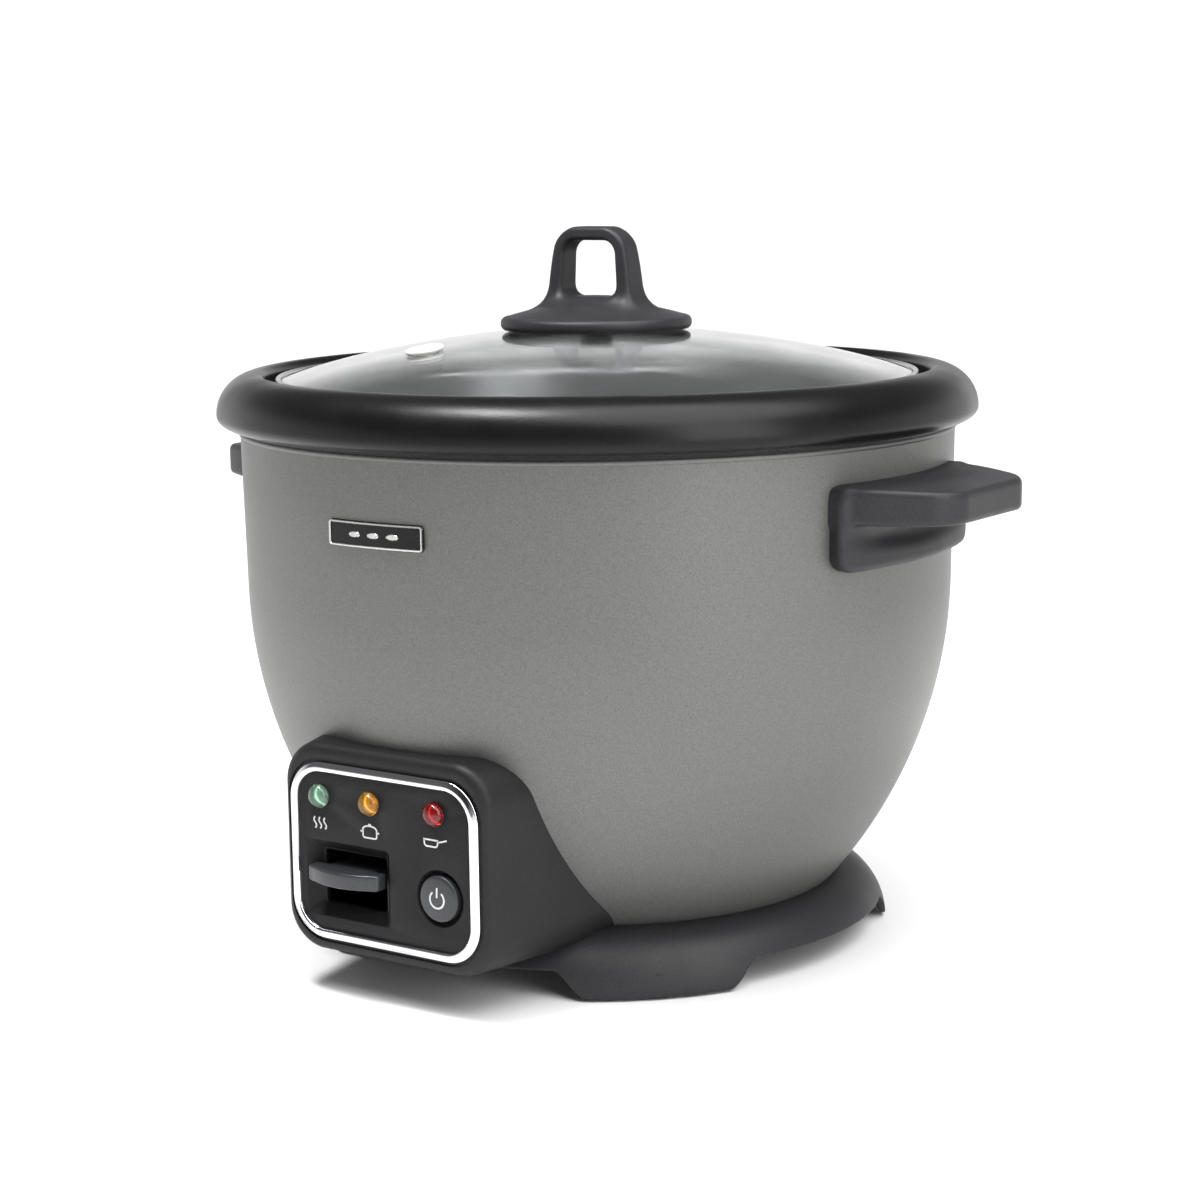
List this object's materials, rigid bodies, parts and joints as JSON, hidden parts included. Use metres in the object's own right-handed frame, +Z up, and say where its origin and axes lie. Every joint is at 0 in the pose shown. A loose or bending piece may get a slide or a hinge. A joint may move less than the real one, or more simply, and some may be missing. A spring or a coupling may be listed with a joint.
{
  "type": "rice cooker",
  "caption": "Round steel rice cooker with a black top ring, side handles, a domed glass lid with an arch knob, a lift-out pot and a front control box with a cook lever.",
  "frame": {"origin": "on the shell's axis at the level of the feet's pads", "axes": "+Z up through the knob, -Y out of the control panel, +X towards the right handle as seen from the front"},
  "size_m": [0.3232, 0.28, 0.2611],
  "materials": {
    "shell_paint": "satin metallic grey",
    "ring_plastic": "satin black",
    "body_plastic": "fine matt black",
    "panel_plastic": "matt black",
    "chrome_trim": "polished",
    "lens_green": "clear moulded",
    "lens_amber": "clear moulded",
    "lens_red": "clear moulded",
    "lever_plastic": "satin",
    "steel": "brushed",
    "screw_steel": "zinc plated",
    "spring_steel": "drawn wire",
    "aluminium": "spun",
    "cast_aluminium": "cast",
    "brass": "plated",
    "ceramic": "fired",
    "ferrite": "sintered",
    "board": "solder mask",
    "bulb": "clear",
    "wire_sleeve": "woven glass sleeve",
    "rubber": "matt",
    "silicone": "satin",
    "glass": "tempered",
    "mica": "mica sheet",
    "switch_body": "moulded"
  },
  "bodies": {
    "cooker": {"outer_shell": "shell_paint", "top_ring": "ring_plastic", "handle_right": "body_plastic", "handle_left": "body_plastic", "handle_screws": "screw_steel", "badge_plate": "panel_plastic", "base": "body_plastic", "foot_pads": "rubber", "bottom_cover": "body_plastic", "cover_screws": "screw_steel", "base_screws": "screw_steel", "control_housing": "body_plastic", "housing_screws": "screw_steel", "control_panel": "panel_plastic", "panel_trim": "chrome_trim", "lens_green": "lens_green", "lens_amber": "lens_amber", "lens_red": "lens_red", "lamp_board": "board", "lamps": "bulb", "lever_pin": "screw_steel", "lever_bracket": "steel", "lever_spring": "spring_steel", "contact_switch": "switch_body", "power_spring": "spring_steel", "power_switch": "switch_body", "inner_liner": "steel", "warm_heater": "mica", "liner_spacers": "brass", "spacer_screws": "screw_steel", "heating_plate": "cast_aluminium", "plate_screws": "screw_steel", "element_terminals": "brass", "terminal_bushes": "ceramic", "thermostat_spring": "spring_steel", "sensor_bracket": "steel", "bracket_rivets": "screw_steel", "thermal_fuse": "ceramic", "fuse_clip": "steel", "inlet_housing": "body_plastic", "inlet_pins": "brass", "terminal_block": "ceramic", "wires": "wire_sleeve"},
    "lever": {"cook_lever": "lever_plastic", "lever_arm": "steel"},
    "magnet_carrier": {"magnet": "ferrite"},
    "power_button": {"power_button": "lever_plastic"},
    "thermostat": {"thermostat_cap": "aluminium", "ferrite_disc": "ferrite"},
    "pot": {"inner_pot": "aluminium"},
    "lid": {"lid_glass": "glass", "lid_rim": "steel", "steam_vent": "silicone", "lid_knob": "body_plastic", "knob_washer": "silicone", "knob_screw": "screw_steel"}
  },
  "joints": [
    {"name": "lever_press", "type": "hinge", "parent": "cooker", "child": "lever", "pos_m": [0, -0.062, 0.034], "axis": [1, 0, 0], "range_deg": [0, 5.46], "stiffness_Nm_per_rad": 0.5, "springref_deg": -6.88},
    {"name": "magnet_lift", "type": "slide", "parent": "cooker", "child": "magnet_carrier", "axis": [0, 0, 1], "range_m": [0, 0.006]},
    {"name": "power_press", "type": "slide", "parent": "cooker", "child": "power_button", "axis": [0, 1, 0], "range_m": [0, 0.003], "stiffness_N_per_m": 300, "springref_m": -0.003, "deforming": ["power_spring"]},
    {"name": "thermostat_press", "type": "slide", "parent": "cooker", "child": "thermostat", "axis": [0, 0, -1], "range_m": [0, 0.0025], "stiffness_N_per_m": 300, "springref_m": -0.004, "deforming": ["thermostat_spring"]},
    {"name": "pot_lift", "type": "slide", "parent": "cooker", "child": "pot", "axis": [0, 0, 1], "range_m": [0, 0.175]},
    {"name": "lid_lift", "type": "slide", "parent": "pot", "child": "lid", "axis": [0, 0, 1], "range_m": [0, 0.1]}
  ],
  "couplings": [
    {"joint": "magnet_lift", "follows": "lever_press", "m_per_rad": 0.062}
  ]
}
